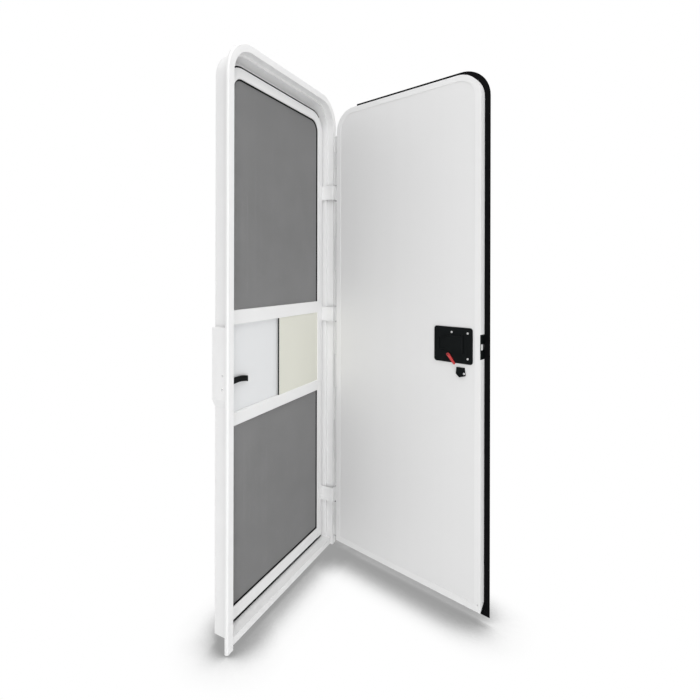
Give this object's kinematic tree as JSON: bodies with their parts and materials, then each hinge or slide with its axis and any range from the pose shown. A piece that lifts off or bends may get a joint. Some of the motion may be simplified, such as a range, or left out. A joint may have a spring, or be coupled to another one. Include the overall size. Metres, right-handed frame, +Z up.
{
  "type": "caravan entry door",
  "caption": "Caravan entry door: flanged frame for a wall cut-out, hinged insulated main door standing open, and a mesh screen door with a sliding centre hatch.",
  "frame": {"origin": "on the back face of the flange, in the middle of the strip under the wall cut-out", "axes": "+X along the wall to the hinge side, +Y into the caravan, +Z up"},
  "size_m": [0.666, 0.6982, 1.794],
  "materials": {
    "white_coated_aluminium": "satin powder coat",
    "white_skin": "satin coil coat",
    "foam": "closed-cell foam",
    "black_rubber": "semi-matt extruded rubber",
    "black_plastic": "fine moulded grain",
    "red_plastic": "moulded gloss",
    "zinc_bolt": "zinc plate",
    "steel_pin": "drawn",
    "mesh": "dark woven mesh",
    "cream_plastic": "smooth sheet",
    "white_plastic": "smooth sheet",
    "cylinder_metal": "polished"
  },
  "bodies": {
    "frame": {"frame_head": "white_coated_aluminium", "frame_hinge_jamb": "white_coated_aluminium", "frame_latch_jamb": "white_coated_aluminium", "frame_sill": "white_coated_aluminium", "frame_back_stop": "white_coated_aluminium", "strike_box": "white_plastic", "main_hinge_frame_leaf": "white_coated_aluminium", "main_hinge_pin": "steel_pin"},
    "main_door": {"main_hinge_bottom_door_leaf": "white_coated_aluminium", "main_hinge_lower_door_leaf": "white_coated_aluminium", "main_hinge_upper_door_leaf": "white_coated_aluminium", "main_hinge_top_door_leaf": "white_coated_aluminium", "door_rim": "white_coated_aluminium", "door_corner_block": "black_plastic", "door_core": "foam", "door_inner_skin": "white_skin", "door_outer_skin": "white_skin", "door_edge_lip": "black_rubber", "lock_plate": "black_plastic", "lock_faceplate": "black_plastic", "screen_catch": "black_plastic", "outside_handle": "black_plastic", "key_cylinder": "cylinder_metal"},
    "lock_paddle": {"lock_paddle": "black_plastic"},
    "lock_snib": {"lock_snib": "red_plastic"},
    "latch_bolt": {"latch_bolt": "zinc_bolt"},
    "screen_door": {"screen_surround": "white_coated_aluminium", "screen_bottom_rail": "white_coated_aluminium", "screen_lower_rail": "white_coated_aluminium", "screen_upper_rail": "white_coated_aluminium", "upper_mesh": "mesh", "lower_mesh": "mesh", "upper_spline": "black_rubber", "lower_spline": "black_rubber", "fixed_panel": "cream_plastic", "panel_edge_strip": "black_plastic", "screen_latch_body": "black_plastic", "screen_hinge_lower_strap": "white_coated_aluminium", "screen_hinge_middle_strap": "white_coated_aluminium", "screen_hinge_upper_strap": "white_coated_aluminium"},
    "sliding_hatch": {"sliding_hatch": "white_plastic"},
    "screen_latch_lever": {"screen_latch_lever": "black_plastic"}
  },
  "joints": [
    {"name": "main_door_swing", "type": "hinge", "parent": "frame", "child": "main_door", "pos_m": [0.316, -0.0185, 0], "axis": [0, 0, 1], "range_deg": [-77, 93]},
    {"name": "screen_door_swing", "type": "hinge", "parent": "frame", "child": "screen_door", "pos_m": [0.316, -0.0185, 0], "axis": [0, 0, 1], "range_deg": [0, 77]},
    {"name": "hatch_slide", "type": "slide", "parent": "screen_door", "child": "sliding_hatch", "axis": [1, 0, 0], "range_m": [0, 0.245]},
    {"name": "screen_lever_turn", "type": "hinge", "parent": "screen_door", "child": "screen_latch_lever", "pos_m": [-0.272, 0.03525, 0.7515], "axis": [0, 1, 0], "range_deg": [0, 25], "stiffness_Nm_per_rad": 0.15, "springref_deg": -11.46},
    {"name": "lock_paddle_pull", "type": "hinge", "parent": "main_door", "child": "lock_paddle", "pos_m": [0.15615, -0.5553, 0.859], "axis": [0, 0, 1], "range_deg": [0, 25], "stiffness_Nm_per_rad": 0.2, "springref_deg": -5.73},
    {"name": "lock_snib_turn", "type": "hinge", "parent": "main_door", "child": "lock_snib", "pos_m": [0.16774, -0.5082, 0.823], "axis": [0.9744, -0.225, 0], "range_deg": [0, 76]},
    {"name": "latch_bolt_slide", "type": "slide", "parent": "main_door", "child": "latch_bolt", "axis": [-0.225, -0.9744, 0], "range_m": [-0.003, 0.009], "stiffness_N_per_m": 120}
  ]
}
